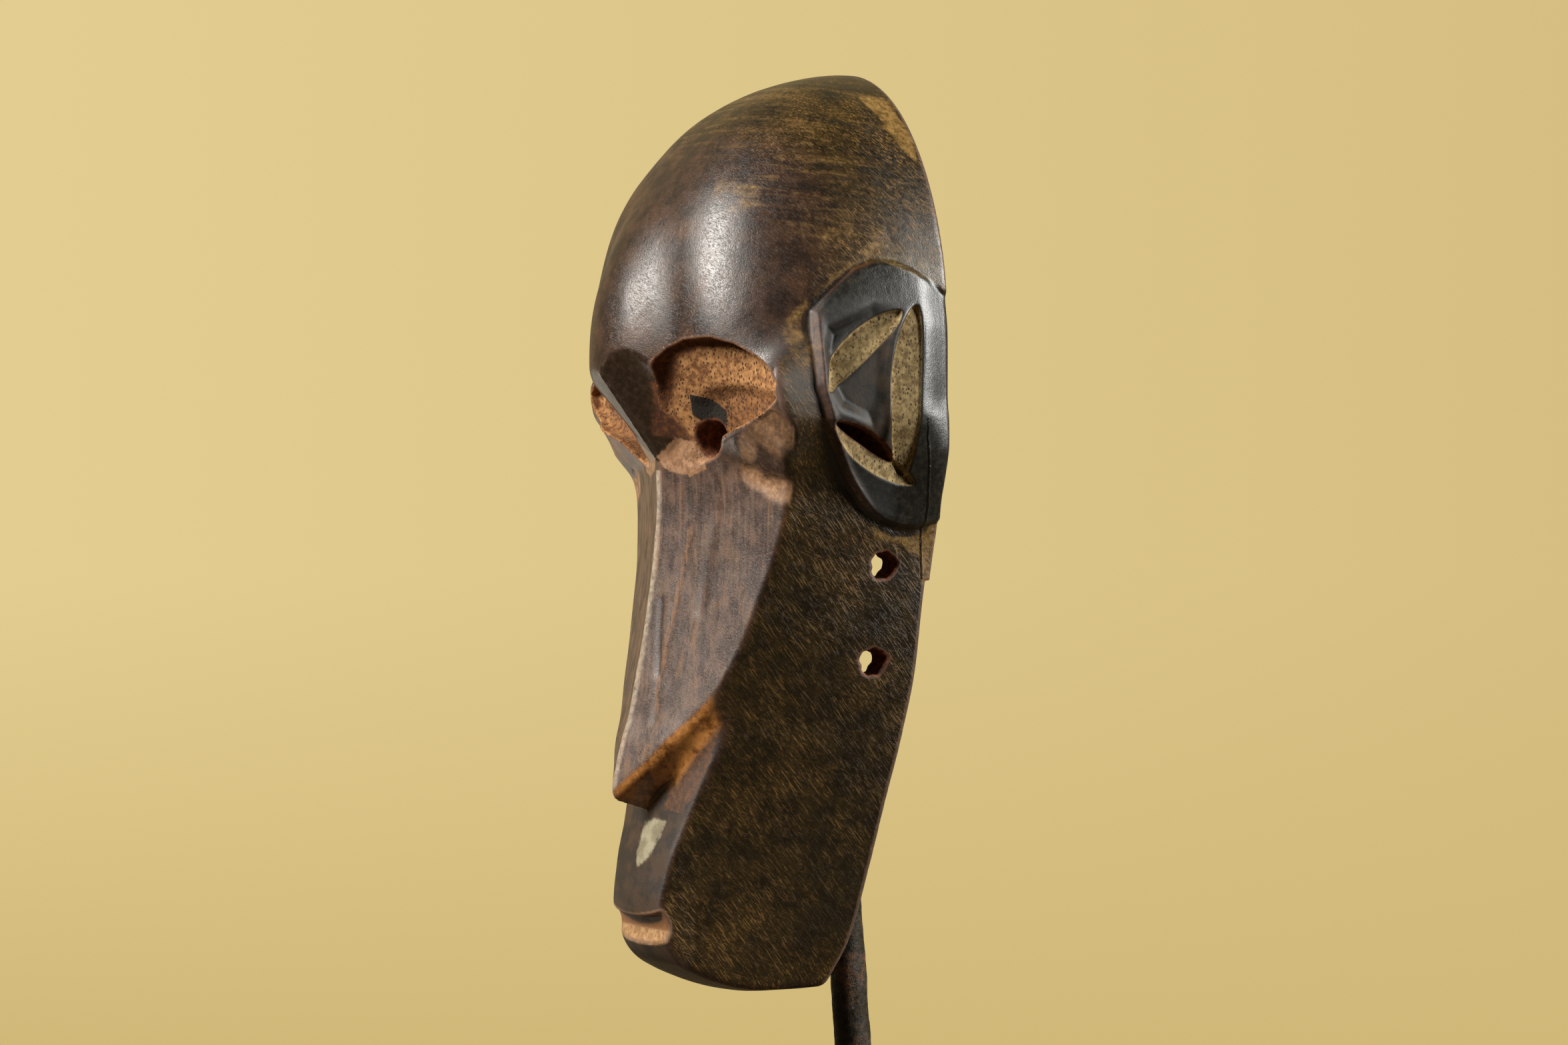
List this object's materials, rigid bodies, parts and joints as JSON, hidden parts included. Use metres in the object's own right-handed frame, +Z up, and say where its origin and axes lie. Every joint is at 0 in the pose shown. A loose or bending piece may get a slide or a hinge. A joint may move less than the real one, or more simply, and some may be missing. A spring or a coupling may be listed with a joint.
{
  "type": "carved wooden mask on a display stand",
  "caption": "Hollow carved wooden face mask with a slab nose, pierced eyes and relief ears, held on a leaning forged iron rod in a dark wood base.",
  "frame": {"origin": "centre of the underside of the felt under the base", "axes": "+Z up, the mask's face looks along -Y, +X is the side of the ear seen in the source view"},
  "size_m": [0.1148, 0.11, 0.3212],
  "materials": {
    "carved_wood": "oiled and handled satin patina, raw pale wood in the carved hollows",
    "forged_iron": "dark forge scale with rust spots",
    "base_wood": "dark stained satin",
    "blackened_steel": "blackened satin",
    "felt": "matt",
    "leather": "matt tan"
  },
  "bodies": {
    "base": {"base_block": "base_wood", "base_felt": "felt", "rod_socket": "blackened_steel", "socket_screw_1": "blackened_steel", "socket_screw_2": "blackened_steel", "socket_screw_3": "blackened_steel"},
    "rod": {"stand_rod": "forged_iron", "cross_bar": "forged_iron", "lower_arm": "forged_iron", "bar_pad_left": "leather", "bar_pad_right": "leather", "arm_pad": "leather"},
    "clamp": {"clamp_screw": "blackened_steel"},
    "mask": {"mask_body": "carved_wood"}
  },
  "joints": [
    {"name": "rod_swivel", "type": "hinge", "parent": "base", "child": "rod", "pos_m": [0, 0.0328, 0], "axis": [0, -0.0778, 0.997], "range_deg": [-90, 90]},
    {"name": "clamp_back_off", "type": "slide", "parent": "base", "child": "clamp", "axis": [1, 0, 0], "range_m": [0, 0.003]},
    {"name": "mask_lift_off", "type": "slide", "parent": "rod", "child": "mask", "axis": [0, -0.9848, 0.1736], "range_m": [0, 0.14]}
  ]
}
